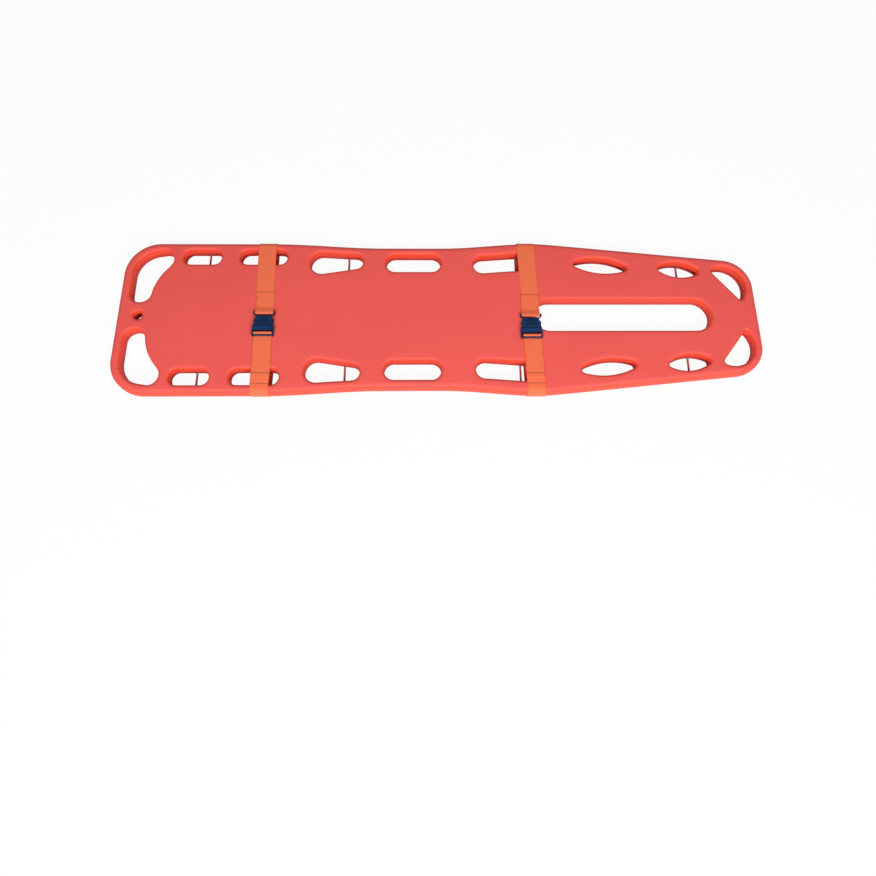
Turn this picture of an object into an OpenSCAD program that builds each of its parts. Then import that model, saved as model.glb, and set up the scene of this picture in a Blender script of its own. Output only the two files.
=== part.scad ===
// Spine board: a hollow moulded board with a foam core, grip slots, clip pins and two buckled straps.
// +X runs to the foot end, +Y to the far side and +Z up. The origin is the middle of the underside.

/* [Board] */
// Length from head end to foot end
board_l = 1840; // [1760:10:1960]
// Width over the shoulders
shoulder_w = 457; // [445:1:480]
// Width at the waist, the narrowest place between shoulders and hips
waist_w = 430; // [420:1:445]
// Width at the hips, the widest place
hip_w = 460; // [450:1:490]
// End of the straight sides at the shoulders, from the head end
shoulder_l = 430; // [400:5:460]
// Where the waist begins, from the head end
waist_from = 750; // [700:5:800]
// Where the waist ends, from the head end
waist_to = 920; // [850:5:980]
// Widest place at the hips, from the head end
hip_in = 1210; // [1180:5:1230]
// Stretch over which the sides turn in at the hips
hip_ease = 30; // [10:1:60]
// Narrowing of each side past the hips, per millimetre of length
foot_taper = 0.0995; // [0.08:0.0005:0.11]
// Thickness of the board
board_t = 50; // [44:1:60]
// Radius of the head end's two corners
head_corner_r = 98; // [80:1:120]
// Radius of the foot end's two corners
foot_corner_r = 87; // [75:1:100]
// Rounding of the outer edge, above and below
edge_r = 14; // [10:0.5:20]
// Rounding of the edge of each slot, above and below
lip_r = 10; // [6:0.5:12]
// Wall of the moulded skin
skin = 4; // [3:0.25:5]
// Wall round each slot
slot_wall = 6; // [5:0.25:8]
// Clearance between the skin and the foam core
core_gap = 0.4; // [0.2:0.1:0.8]

/* [Grip slots] */
// Material left between a grip slot and the edge
grip_rail = 24; // [22:0.5:28]
// Material left between a strap slot near the hips and the edge
strap_rail = 34; // [30:0.5:38]
// Half height of the shoulder slot and the chest slot
grip_r = 22; // [17:0.5:24]
// Head end of the shoulder slot, from the board's head end
shoulder_slot_in = 168; // [160:1:190]
// Length of the shoulder slot
shoulder_slot_l = 109; // [100:1:118]
// Head end of the chest slot, from the board's head end
chest_slot_in = 333; // [318:1:345]
// Length of the chest slot
chest_slot_l = 136; // [110:1:142]
// Head end of the tapered elbow slot, from the board's head end
elbow_slot_in = 538; // [515:1:550]
// Length of the elbow slot
elbow_slot_l = 154; // [120:1:170]
// Half height of the elbow slot at its head end
elbow_r = 33.5; // [26:0.5:36]
// Half height of the elbow slot at its foot end
elbow_end_r = 23; // [17:0.5:26]
// Head end of the waist slot, from the board's head end
waist_slot_in = 760; // [740:1:790]
// Length of the waist slot
waist_slot_l = 160; // [120:1:180]
// Head end of the hip slot, from the board's head end
hip_slot_in = 1017; // [990:1:1030]
// Length of the hip slot
hip_slot_l = 161; // [120:1:175]
// Half height of the waist slot and the hip slot
wide_r = 27; // [20:0.1:29]
// Middle of the lens-shaped thigh slot, from the board's foot end
thigh_slot_in = 448; // [430:1:465]
// Length of the thigh slot
thigh_slot_l = 155; // [120:1:170]
// Middle of the lens-shaped shin slot, from the board's foot end
shin_slot_in = 216.5; // [210:0.5:240]
// Length of the shin slot
shin_slot_l = 118; // [100:1:124]
// Material left between the shin slot and the edge
shin_rail = 24; // [22:0.5:30]
// Height of the lens-shaped slots
lens_h = 46; // [36:0.5:50]
// Radius of the tips of the lens-shaped slots
lens_tip_r = 10; // [6:0.5:12]
// Foot end of the long slot between the legs, from the board's foot end
leg_slot_in = 137; // [130:1:170]
// Length of the long slot
leg_slot_l = 516; // [440:1:530]
// Half height of the long slot
leg_r = 47; // [30:1:55]
// Distance of the corner openings from the rounded corner's edge
corner_rail = 27.5; // [24:0.5:34]

/* [Pins and bore] */
// Diameter of a clip pin
pin_d = 6; // [4:0.5:8]
// Distance of the shoulder pin from its slot's foot end
shoulder_pin_in = 36.5; // [32:0.5:60]
// Distance of the elbow pin from its slot's foot end
elbow_pin_in = 42.5; // [32:0.5:60]
// Distance of the hip pin from its slot's foot end
hip_pin_in = 34.5; // [30:0.5:60]
// Depth of a pin's seat in the wall of its slot
pin_seat = 4.5; // [3:0.25:5]
// Radial clearance of a pin in its seat
pin_gap = 0.05; // [0.02:0.01:0.1]
// Diameter of the bore at the head end
bore_d = 26; // [20:1:34]
// Distance of the bore from the head end
bore_in = 59; // [50:1:70]
// Chamfer at each mouth of the bore
bore_chamfer = 3; // [1:0.5:5]

/* [Underside channel] */
// Depth of the channel
channel_depth = 16; // [10:0.5:22]
// Width of the channel halfway down its side
channel_w = 66; // [56:1:72]
// Distance between the middles of the channel's two legs
channel_pitch = 134; // [126:1:150]
// Rounding where the channel meets the underside
channel_lip = 6; // [4:0.5:8]
// Foot end of the channel's legs, from the board's foot end
channel_foot_in = 732; // [725:1:780]
// Outermost point of the channel's turn, from the board's head end
channel_head_in = 132; // [125:1:160]
// Width of the channel at its turn
channel_turn_w = 47; // [40:1:60]
// Diameter of a filler plug's head
plug_head_d = 18; // [12:0.5:22]
// Diameter of a filler plug's stem
plug_stem_d = 12; // [8:0.5:16]
// Distance between filler plugs along a leg
plug_pitch = 208; // [150:1:220]
// Filler plug that is nearest to the foot end, from the channel's foot end
plug_first_in = 92; // [60:1:120]

/* [Webbing] */
// Width of the webbing
web_w = 52; // [44:1:53]
// Thickness of the webbing
web_t = 1.3; // [1:0.1:1.8]
// Middle of the chest strap, from the board's head end
chest_strap_in = 418; // [395:1:440]
// Middle of the thigh strap, from the board's head end
thigh_strap_in = 1177; // [1165:1:1190]
// Gap between webbing and what it lies on
web_gap = 0.3; // [0.2:0.05:0.5]
// Length of the sewn lap behind the buckle
lap_l = 46; // [30:1:70]
// Distance of the free end from the near edge
tail_in = 41; // [35:1:80]
// Distance from the near edge to where the wrap meets the adjuster run
seam_in = 28; // [22:1:32]

/* [Buckle] */
// Far end of the chest buckle, across the board
chest_buckle_y = 8; // [-20:1:60]
// Far end of the thigh buckle, across the board
thigh_buckle_y = 0; // [-20:1:60]
// Width over the webbing bars
buckle_w = 61.5; // [61:0.5:68]
// Height of the buckle
buckle_h = 12; // [11.5:0.25:14]
// Height of the socket at its neck
neck_h = 9; // [8.5:0.25:10]
// Width of the socket at its neck
neck_w = 44; // [43:0.5:46]
// Width of the socket at its mouth
mouth_w = 59.5; // [58:0.5:61]
// Length of the socket, from its far end to its mouth
socket_l = 44; // [43.5:0.5:46]
// Distance of the socket's hollow body from its far end
body_in = 12.5; // [12:0.5:13.5]
// Length of the plug's base behind the mouth
base_l = 13.5; // [13:0.5:18]
// Height of the plug's base at its near end
base_end_h = 10.4; // [10:0.2:12]
// Wall of the socket
socket_wall = 2.4; // [2:0.1:2.6]
// Height by which the socket's middle panel and rim stand proud
panel_rise = 0.7; // [0.3:0.1:1]
// Diameter of the socket's webbing bar
bar_d = 5; // [4:0.25:5.5]
// Diameter of the plug's middle bar
ladder_bar_d = 5.4; // [4.5:0.1:5.6]
// Diameter of the plug's end bar
end_bar_d = 5.5; // [4.5:0.1:6]
// Width of the plug's tongue
tongue_w = 12; // [8:0.5:13]
// Width of a side arm
arm_w = 5; // [4:0.25:5.5]
// Angle by which a pressed arm turns inwards
arm_swing = 10; // [9.5:0.5:11]
// Radius of the bulge that is pressed
bulge_r = 13.2; // [12.8:0.1:13.4]
// Grip grooves across the bulge
grooves = 4; // [0:1:6]
// Clearance between moving pieces of the buckle
fit = 0.3; // [0.2:0.05:0.4]

/* [Hidden] */
$fn = 48;

board_red = [0.91, 0.35, 0.33];
core_cream = [0.93, 0.88, 0.72];
pin_brown = [0.45, 0.22, 0.22];
web_orange = [0.95, 0.45, 0.29];
buckle_navy = [0.05, 0.16, 0.36];

head_x = -board_l / 2;
foot_x = board_l / 2;
function slot_ends(from_head, l) = [head_x + from_head, head_x + from_head + l];
shoulder_slot = slot_ends(shoulder_slot_in, shoulder_slot_l);
chest_slot = slot_ends(chest_slot_in, chest_slot_l);
elbow_slot = slot_ends(elbow_slot_in, elbow_slot_l);
waist_slot = slot_ends(waist_slot_in, waist_slot_l);
hip_slot = slot_ends(hip_slot_in, hip_slot_l);
leg_slot = [foot_x - leg_slot_in - leg_slot_l, foot_x - leg_slot_in];
strap_x = [head_x + chest_strap_in, head_x + thigh_strap_in];
buckle_y = [chest_buckle_y, thigh_buckle_y];
channel_foot = foot_x - channel_foot_in;
channel_head = head_x + channel_head_in;
past = 1;                                       // how far a cut runs past a face
arc_steps = 5;                                  // facets in a quarter turn of a slot
lip_angles = [0, 30, 60];                       // facets of a slot's rounded edge at the deck
low_lip_angles = [45, 0];                       // and at the underside
edge_angles = [90, 60, 30, 0];                  // facets of the board's rounded edge
mouth_out = 1.06;                               // outset of a lip beyond the board's face, in lip radii
mouth_past = 0.6;                               // and its distance from that face

// Where the sides change their course
shoulder_end = head_x + shoulder_l;
waist_start = head_x + waist_from;
waist_end = head_x + waist_to;
hip_x = head_x + hip_in;

taper_angle = atan(foot_taper);
shoulder_half = shoulder_w / 2;
waist_half = waist_w / 2;
hip_half = hip_w / 2 + foot_taper * hip_ease / 2;
head_centre = [head_x + head_corner_r, shoulder_half - head_corner_r];
foot_tangent_x = foot_x - foot_corner_r * (1 - sin(taper_angle));
foot_centre = [foot_x - foot_corner_r, half_width(foot_tangent_x) - foot_corner_r * cos(taper_angle)];

// Half width of the board at a place along it
function smooth(t) = let (c = min(1, max(0, t))) c * c * (3 - 2 * c);
function past_hip(x) = let (u = x - hip_x) (u + sqrt(u * u + hip_ease * hip_ease)) / 2;
function half_width(x) = x < waist_start
    ? shoulder_half + (waist_half - shoulder_half)
        * smooth((x - shoulder_end) / (waist_start - shoulder_end))
    : waist_half + (hip_half - foot_taper * past_hip(x) - waist_half)
        * smooth((x - waist_end) / (hip_x - waist_end));

// Points of an arc, both ends included
function arc(c, r, a0, a1, n) = [for (i = [0:n]) let (a = a0 + (a1 - a0) * i / n) c + r * [cos(a), sin(a)]];
function reversed(pts) = [for (i = [len(pts) - 1:-1:0]) pts[i]];
function without_repeats(pts) = [for (i = [0:len(pts) - 1])
    if (i == 0 || norm(pts[i] - pts[i - 1]) > 0.01) pts[i]];
function unit(v) = v / norm(v);
function outward(a, b) = let (d = unit(b - a)) [d[1], -d[0]];

// A closed ring, anticlockwise, moved outwards by d along the mitre of its neighbours
function grown(ring, d) = let (n = len(ring)) [for (i = [0:n - 1])
    let (p = ring[i], u = outward(ring[(i + n - 1) % n], p), v = outward(p, ring[(i + 1) % n]))
    p + d * (u + v) / (1 + u * v)];

// A closed solid through one ring at several heights: each level is [outset, z].
// Its two caps are strips that join point i to its partner on the other side of the ring.
module loft(ring, levels) {
    n = len(ring);
    top = (len(levels) - 1) * n;
    polyhedron(
        points = [for (l = levels) each [for (p = grown(ring, l[0])) [p[0], p[1], l[1]]]],
        faces = concat(
            [for (k = [0:len(levels) - 2]) each [for (i = [0:n - 1])
                let (a = k * n + i, b = k * n + (i + 1) % n) [a, a + n, b + n, b]]],
            [for (i = [0:n / 2 - 2]) [i, i + 1, n - 2 - i, n - 1 - i]],
            [for (i = [0:n / 2 - 2]) [top + n - 1 - i, top + n - 2 - i, top + i + 1, top + i]]
        )
    );
}

// Levels of a cut with a rounded edge at the underside and at the deck
function lip_levels(r) = concat(
    [[r * mouth_out, -mouth_past]],
    [for (a = low_lip_angles) [r * (1 - cos(a)), r * (1 - sin(a))]],
    [for (a = lip_angles) [r * (1 - cos(a)), board_t - r * (1 - sin(a))]],
    [[r * mouth_out, board_t + mouth_past]]
);

// Outline of the board
side_xs = concat(
    [for (i = [0:7]) shoulder_end + (waist_start - shoulder_end) * i / 7],
    [for (i = [0:8]) waist_end + (hip_x - hip_ease - waist_end) * i / 8],
    [for (i = [0:3]) hip_x + hip_ease * (i - 0.3)]
);
far_side = concat(
    arc(head_centre, head_corner_r, 180, 90, 8),
    [for (x = side_xs) [x, half_width(x)]],
    arc(foot_centre, foot_corner_r, 90 - taper_angle, 0, 7)
);
board_ring = concat([for (p = far_side) [p[0], -p[1]]], reversed(far_side));

// Ring round two circles of radius r1 at c1 and r2 at c2, with c2 towards the foot end
function slot_ring(c1, r1, c2, r2, n) = let (
    d = c2 - c1, tilt = atan2(d[1], d[0]), a = acos((r1 - r2) / norm(d)))
    concat(arc(c2, r2, tilt - a, tilt + a, 2 * n), arc(c1, r1, tilt + a, tilt + 360 - a, 2 * n));

// Ring of a lens of a given length and height with round tips
function lens_ring(c, l, h, tip, tilt, n) = let (
    a = l / 2 - tip,
    r = (a * a + h * h / 4 - tip * tip) / (h - 2 * tip),
    s = asin(a / (r - tip)),
    turn = function (p) c + [p[0] * cos(tilt) - p[1] * sin(tilt), p[0] * sin(tilt) + p[1] * cos(tilt)],
    long = arc([0, h / 2 - r], r, 90 - s, 90 + s, n + 1),
    half = concat(arc([a, 0], tip, s - 90, 90 - s, n), [for (i = [1:n]) long[i]]))
    [for (p = concat(half, -half)) turn(p)];

// Kidney-shaped opening in a head corner: two round lobes, an outer side that follows the corner
// and an inner side that bulges into the opening. Each arc is [centre, radius, from angle, to angle].
kidney_low = head_centre + [-40.5, -59];
kidney_top = head_centre + [11.5, 44.5];
kidney_bulge = head_centre + [137.5, -84];
kidney_low_r = 30;
kidney_top_r = 29;
kidney_bulge_r = 150;
kidney_inner = [kidney_low, kidney_low_r, -90, -9];
kidney_swell = [kidney_bulge, kidney_bulge_r, 171, 135];
kidney_tip = [kidney_top, kidney_top_r, -45, 38];
kidney_shoulder = [kidney_top, kidney_top_r, 52, 88];
kidney_outer = [head_centre, head_corner_r - corner_rail, 96, 180];
kidney_end = [kidney_low, kidney_low_r, 180, 252];
function along(a, n) = arc(a[0], a[1], a[2], a[3], n);
function kidney_ring(n) = concat(
    along(kidney_inner, n), along(kidney_swell, n), along(kidney_tip, n), along(kidney_shoulder, 1),
    along(kidney_outer, 2 * n - 1), along(kidney_end, n)
);

// Half-moon opening in a foot corner: an arc that follows the corner and a straight inner side,
// which lies moon_out beyond the corner's centre, with round tips
moon_rail = corner_rail - 3.5;
moon_r = foot_corner_r - moon_rail;
moon_out = 6.5;
moon_turn = 39.3;
moon_tips = [7, 10];
moon_ease = 8;                                  // angle left between the arc and each tip
function moon_tip(i) = acos((moon_tips[i] + moon_out) / (moon_r - moon_tips[i]));
function moon_ring(n) = let (
    a0 = moon_turn - moon_tip(0), a1 = moon_turn + moon_tip(1),
    c0 = foot_centre + (moon_r - moon_tips[0]) * [cos(a0), sin(a0)],
    c1 = foot_centre + (moon_r - moon_tips[1]) * [cos(a1), sin(a1)])
    concat(
        arc(foot_centre, moon_r, a0 + moon_ease, a1 - moon_ease, 2 * n - 1),
        arc(c1, moon_tips[1], a1, moon_turn + 180, n),
        [for (i = [1:n - 1]) arc(c0, moon_tips[0], moon_turn + 180, a0 + 360, n)[i]]
    );

// Centre of a slot's end circle: a rail's width inside the edge
function end_centre(x, r, rail) = [x, half_width(x) - rail - r];
function grip_ring(ends, r1, r2, rail, n) =
    slot_ring(end_centre(ends[0] + r1, r1, rail), r1, end_centre(ends[1] - r2, r2, rail), r2, n);
function lens_at(x, l, rail, n) =
    lens_ring(end_centre(x, lens_h / 2, rail), l, lens_h, lens_tip_r, -taper_angle, n);
elbow_rail = grip_rail + 1;

// The openings of the far side, and the slot between the legs, with n facets in a quarter turn
function side_rings(n) = [
    kidney_ring(n),
    grip_ring(shoulder_slot, grip_r, grip_r, grip_rail, n),
    grip_ring(chest_slot, grip_r, grip_r, grip_rail, n),
    grip_ring(elbow_slot, elbow_r, elbow_end_r, elbow_rail, n),
    grip_ring(waist_slot, wide_r, wide_r, grip_rail, n),
    grip_ring(hip_slot, wide_r, wide_r, strap_rail, n),
    lens_at(foot_x - thigh_slot_in, thigh_slot_l, strap_rail, n),
    lens_at(foot_x - shin_slot_in, shin_slot_l, shin_rail, n),
    moon_ring(n)
];
function leg_ring(n) = slot_ring([leg_slot[0] + leg_r, 0], leg_r, [leg_slot[1] - leg_r, 0], leg_r, n);

// Ring of the underside's channel, halfway down its side: two legs joined by a turn at the head end
leg_half = channel_w / 2;
leg_y = channel_pitch / 2;
turn_outer = leg_y + leg_half;
turn_inner = leg_y - leg_half;
turn_outer_c = [channel_head + channel_lip / 2 + turn_outer, 0];
turn_inner_c = [channel_head + channel_lip / 2 + channel_turn_w + turn_inner, 0];
function channel_ring(n) = let (end_x = channel_foot - leg_half) concat(
    arc([end_x, leg_y], leg_half, 9, 90, n),
    arc(turn_outer_c, turn_outer, 90, 270, 3 * n),
    arc([end_x, -leg_y], leg_half, -90, -9, n),
    arc([end_x, -leg_y], leg_half, 9, 90, n),
    arc(turn_inner_c, turn_inner, 270, 90, 3 * n),
    arc([end_x, leg_y], leg_half, -90, -9, n)
);
channel_ease = 0.4 * channel_lip;
channel_levels = [
    [channel_lip + mouth_past, -mouth_past], [channel_ease, channel_ease], [0, channel_lip],
    [-channel_lip / 2, channel_depth - channel_lip / 2], [-channel_lip * 1.5, channel_depth]
];

// Places of the filler plugs in the channel floor: as many along each leg as its straight stretch has room
// for, and one in the middle of the turn
plug_xs = [for (x = [channel_foot - plug_first_in:-plug_pitch:turn_outer_c[0]]) x];
plug_places = concat(
    [for (x = plug_xs, side = [1, -1]) [x, side * leg_y]],
    [[channel_head + channel_lip / 2 + channel_turn_w / 2, 0]]
);
plug_head_t = 2;
plug_bevel = 1;                                 // how much narrower a plug's head is on top
plug_fit = 0.2;                                 // clearance of a plug's stem, and past its end

// The middle of a grip slot, and its half height, at a distance from its foot end: [x, y, half height]
function slot_place(ends, r1, r2, rail, from_foot) = let (
    c1 = end_centre(ends[0] + r1, r1, rail), c2 = end_centre(ends[1] - r2, r2, rail),
    x = ends[1] - from_foot, t = (x - c1[0]) / (c2[0] - c1[0]), lean = (r1 - r2) / norm(c2 - c1))
    [x, c1[1] + (c2[1] - c1[1]) * t, (r1 + (r2 - r1) * t) / sqrt(1 - lean * lean)];
pin_end_gap = 0.2;                              // between a pin's end and the bottom of its seat
pin_places = [
    slot_place(shoulder_slot, grip_r, grip_r, grip_rail, shoulder_pin_in),
    slot_place(elbow_slot, elbow_r, elbow_end_r, elbow_rail, elbow_pin_in),
    slot_place(hip_slot, wide_r, wide_r, strap_rail, hip_pin_in),
    concat(end_centre(foot_x - shin_slot_in, lens_h / 2, shin_rail), lens_h / 2)
];

module both_sides() {
    children();
    mirror([0, 1, 0]) children();
}

// A round bar along Y
module cross_bar(r, l) {
    rotate([90, 0, 0]) cylinder(r = r, h = l, center = true);
}

// The space inside the skin, shrunk by gap on every side. Its upper and lower edges are bevelled.
core_edge = edge_r * 0.6;
core_bevel = edge_r * 0.8;
module inner_space(gap) {
    low = skin + gap;
    high = board_t - skin - gap;
    difference() {
        loft(board_ring, [
            [-core_edge - gap, low], [-skin - gap, core_bevel],
            [-skin - gap, board_t - core_bevel], [-core_edge - gap, high]
        ]);
        for (ring = side_rings(3)) both_sides()
            loft(ring, [[slot_wall + gap, 0], [slot_wall + gap, board_t]]);
        loft(leg_ring(4), [[slot_wall + gap, 0], [slot_wall + gap, board_t]]);
        loft(channel_ring(2), [
            [channel_ease + skin + gap, 0], [skin + gap, channel_depth - channel_lip + past],
            [-channel_lip / 2 + gap, channel_depth + skin + gap]
        ]);
        translate([head_x + bore_in, 0, 0]) cylinder(d = bore_d + 2 * (slot_wall + gap), h = board_t);
    }
}

module board_shell() {
    color(board_red) difference() {
        loft(board_ring, concat(
            [for (a = edge_angles) [-edge_r * (1 - cos(a)), edge_r * (1 - sin(a))]],
            [for (a = reversed(edge_angles)) [-edge_r * (1 - cos(a)), board_t - edge_r * (1 - sin(a))]]
        ));
        for (ring = side_rings(arc_steps)) both_sides() loft(ring, lip_levels(lip_r));
        loft(leg_ring(arc_steps + 2), lip_levels(lip_r));
        loft(channel_ring(3), channel_levels);
        inner_space(0);
        head_bore();
        for (p = pin_places) both_sides() translate([p[0], p[1], board_t / 2])
            cross_bar(pin_d / 2 + pin_gap, 2 * (p[2] + pin_seat + pin_end_gap));
        for (p = plug_places) translate([p[0], p[1], channel_depth - past])
            cylinder(d = plug_stem_d + 2 * plug_fit, h = skin + 2 * past);
    }
}

module head_bore() {
    r = bore_d / 2;
    mouth = bore_chamfer + past;
    translate([head_x + bore_in, 0, 0]) {
        translate([0, 0, -past]) cylinder(r = r, h = board_t + 2 * past);
        translate([0, 0, -past]) cylinder(r1 = r + mouth, r2 = r, h = mouth);
        translate([0, 0, board_t - bore_chamfer]) cylinder(r1 = r, r2 = r + mouth, h = mouth);
    }
}

module foam_core() {
    color(core_cream) inner_space(core_gap);
}

module filler_plugs() {
    color(board_red) for (p = plug_places) translate([p[0], p[1], channel_depth - plug_head_t]) {
        cylinder(d1 = plug_head_d - 2 * plug_bevel, d2 = plug_head_d, h = plug_head_t);
        cylinder(d = plug_stem_d, h = plug_head_t + skin - plug_fit);
    }
}

module clip_pin(i, side) {
    p = pin_places[i];
    color(pin_brown) translate([p[0], side * p[1], board_t / 2])
        cross_bar(pin_d / 2, 2 * (p[2] + pin_seat));
}

// A ribbon of webbing: its middle line is a path of [y, z] points, and its thickness lies on both sides
function ribbon_side(path, s) = let (n = len(path)) [for (i = [0:n - 1])
    let (u = outward(path[max(i - 1, 0)], path[i == 0 ? 1 : i]),
         v = outward(path[i == n - 1 ? n - 2 : i], path[min(i + 1, n - 1)]))
    path[i] + s * (u + v) / (1 + u * v)];
module ribbon(path, x) {
    middle = without_repeats(path);
    outline = concat(ribbon_side(middle, web_t / 2), reversed(ribbon_side(middle, -web_t / 2)));
    color(web_orange) translate([x - web_w / 2, 0, 0]) rotate([90, 0, 90])
        linear_extrude(web_w) polygon(outline);
}

web_z = board_t + web_gap + web_t / 2;          // middle of webbing that lies on the deck
layer_gap = 0.2;
second_z = web_z + web_t + layer_gap;           // middle of a second layer on it
lap_rise = 20;                                  // how far the lap comes down from the bar to the deck
tail_bend = 1;                                  // inner radius where the free end turns off the bar
bar_wrap = bar_d / 2 + web_gap + web_t / 2;
ladder_wrap = ladder_bar_d / 2 + web_gap + web_t / 2;
bar_inset = 1.5;                                // from the socket's far end to its bar
ladder_gap = 2.8;                               // from the plug's base to the webbing on its middle bar
socket_bar_in = bar_d / 2 + bar_inset;
ladder_in = socket_l + base_l + ladder_gap + ladder_wrap + web_t / 2;
end_bar_in = ladder_in + ladder_wrap + web_t / 2 + web_gap + end_bar_d / 2;
buckle_l = end_bar_in + end_bar_d / 2;
end_bar_z = second_z + web_t / 2 + web_gap + end_bar_d / 2;
function strap_half(i) = max(
    half_width(strap_x[i] - web_w / 2), half_width(strap_x[i]), half_width(strap_x[i] + web_w / 2));

// The wrap: sewn lap, turn round the socket's bar, then over the far edge, under the board
// and up the near edge
function wrap_path(i) = let (
    y0 = buckle_y[i] - socket_bar_in, zb = web_z + bar_wrap,
    r = edge_r + web_gap + web_t / 2, yc = strap_half(i) - edge_r,
    foot = y0 + lap_rise)
    concat(
        [[foot + lap_l, second_z], [foot, second_z]],
        arc([y0, zb], bar_wrap, 70, 270, 10),
        arc([yc, board_t - edge_r], r, 90, 0, 6),
        arc([yc, edge_r], r, 0, -90, 6),
        arc([-yc, edge_r], r, -90, -180, 6),
        arc([-yc, board_t - edge_r], r, 180, 90, 6),
        [[-strap_half(i) + seam_in, web_z]]
    );

// The adjuster run: along the deck, up and over the plug's middle bar, down under its end bar and back
// as the free end, which lies on the run
function run_path(i) = let (
    y1 = buckle_y[i] - ladder_in, bend = web_t / 2 + tail_bend, zb = web_z + ladder_wrap,
    yd = y1 - ladder_wrap - bend)
    concat(
        [[-strap_half(i) + seam_in + fit, web_z]],
        arc([y1, zb], ladder_wrap, -90, 180, 12),
        arc([yd, second_z + bend], bend, 0, -90, 4),
        [[-strap_half(i) + tail_in, second_z]]
    );

module strap_wrap(i) {
    ribbon(wrap_path(i), strap_x[i]);
}

module adjuster_run(i) {
    ribbon(run_path(i), strap_x[i]);
}

// A buckle's own frame: its far end at y = 0, its length along -Y, and its underside at z = 0
module at_buckle(i) {
    translate([strap_x[i], buckle_y[i], board_t + web_gap]) children();
}
half_neck = neck_w / 2;
half_mouth = mouth_w / 2;
half_bars = buckle_w / 2;
rail_w = half_bars - web_w / 2 - 1;             // side rail beside the webbing
edge_break = 0.8;                               // chamfer of moulded edges
top_round = 2.4;                                // rounding of a moulded piece's upper edge
corner = 2;                                     // cut corner of ears and rails
cavity_h = buckle_h - 2 * socket_wall;
button_h = cavity_h - 2 * fit;                  // the part of an arm that shows in the socket's window
arm_h = button_h - 1.2;
catch_in = socket_l - 7;                        // edge of the side window that an arm's hook catches
window_in = body_in + 5;
slope_l = 5.5;                                  // slope from the socket's neck up to its top
function flare(t) = smooth(t) * t;
function half_at(u) = half_neck + (half_mouth - half_neck) * flare((u - body_in) / (socket_l - body_in));
socket_us = [for (i = [0:7]) body_in + (socket_l - body_in) * i / 7];
function sided(pts) = concat([for (p = pts) [-p[0], p[1]]], reversed(pts));
function on_side(pts, side) = [for (p = pts) [side * p[0], p[1]]];

module moulded(ring, h) {
    loft(ring, [
        [-edge_break, 0], [0, edge_break], [0, h - top_round], [-0.3 * top_round, h - 0.3 * top_round],
        [-0.9 * top_round, h]
    ]);
}

// A raised panel with bevelled sides on the top of a moulded piece
module panel(pts) {
    loft(sided(pts), [[0, buckle_h - past], [0, buckle_h], [-panel_rise, buckle_h + panel_rise]]);
}

// The socket: a hollow body that is open towards the plug, with a window in each side, a raised panel and a
// rim on its top, and two ears that carry the webbing bar
module buckle_socket(i) {
    color(buckle_navy) at_buckle(i) {
        difference() {
            union() {
                moulded(sided([for (u = socket_us) [half_at(u), -u]]), buckle_h);
                panel([[panel_neck, -panel_in], [panel_mouth, -panel_out]]);
                panel([[half_mouth - top_round - rim_taper, -socket_l + rim_l],
                    [half_mouth - top_round, -socket_l]]);
            }
            translate([0, 0, socket_wall]) linear_extrude(cavity_h) polygon(sided(concat(
                [for (u = socket_us) [half_at(u) - socket_wall, -max(u, body_in + socket_wall)]],
                [[half_mouth - socket_wall, -socket_l - past]])));
            for (s = [1, -1]) translate([s * half_mouth, -(window_in + catch_in) / 2, buckle_h / 2])
                cube([half_mouth, catch_in - window_in, cavity_h], center = true);
            neck_slope();
        }
        for (s = [1, -1]) translate([0, 0, edge_break]) linear_extrude(ear_h) polygon(on_side(ear, s));
        translate([0, -socket_bar_in, web_t / 2 + bar_wrap]) rotate([0, 90, 0])
            cylinder(d = bar_d, h = buckle_w - rail_w, center = true);
    }
}
panel_in = body_in + slope_l + 1.5;
panel_out = socket_l - 5;
panel_neck = 7;
panel_mouth = 13;
rim_l = 3;
rim_taper = 2;
ear_h = 8.2;
ear_tip = 3.5;
ear_sunk = 0.5;                                 // between an ear's side and the body's
ear_root = 3;                                   // how deep an ear is set into the body
ear_throat = 1.5;                               // from the body's end to the ear's inner corner
ear_link = window_in - body_in - ear_sunk;      // how far an ear reaches along the body
ear = [
    [half_bars - rail_w, 0], [half_bars - corner, 0], [half_bars, -corner], [half_bars, -bar_d - ear_tip],
    [half_at(body_in + ear_link) - ear_sunk, -body_in - ear_link],
    [half_neck - ear_root, -body_in - ear_link], [half_neck - ear_root, -body_in],
    [half_bars - rail_w, -body_in + ear_throat]
];

// What is cut off above the slope that rises from the neck
module neck_slope() {
    translate([half_mouth, -body_in + past, 0]) rotate([90, 0, -90]) linear_extrude(mouth_w) polygon([
        [0, neck_h - past * (buckle_h - neck_h) / slope_l], [slope_l + past, buckle_h],
        [slope_l + past, buckle_h + past], [0, buckle_h + past]]);
}

// A side arm turns inwards about its root, which is a round knuckle in the plug's base. Its bulge is the
// button that shows in the socket's window, and the step behind the bulge is the hook.
root = [19.5, -socket_l - 7.5];
bulge_c = [15.2, -socket_l + 13.5];
bow_w = 6;                                      // wall of the bow that makes the bulge
groove_r = 0.5;
groove_turn = 11;
hook_u = catch_in - fit;
arm_in = root[0] - arm_w / 2;
arm_out = root[0] + arm_w / 2;

module arm_bulge(from_x) {
    difference() {
        intersection() {
            translate(bulge_c) circle(bulge_r);
            translate([from_x, -hook_u]) square([bulge_r * 2, bulge_r * 2]);
        }
        translate(bulge_c) circle(bulge_r - bow_w);
        for (k = [0:1:grooves - 1]) translate(bulge_c + bulge_r * [
            cos(groove_turn * (k - (grooves - 1) / 2)), sin(groove_turn * (k - (grooves - 1) / 2))])
            circle(groove_r, $fn = 16);
    }
}

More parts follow.
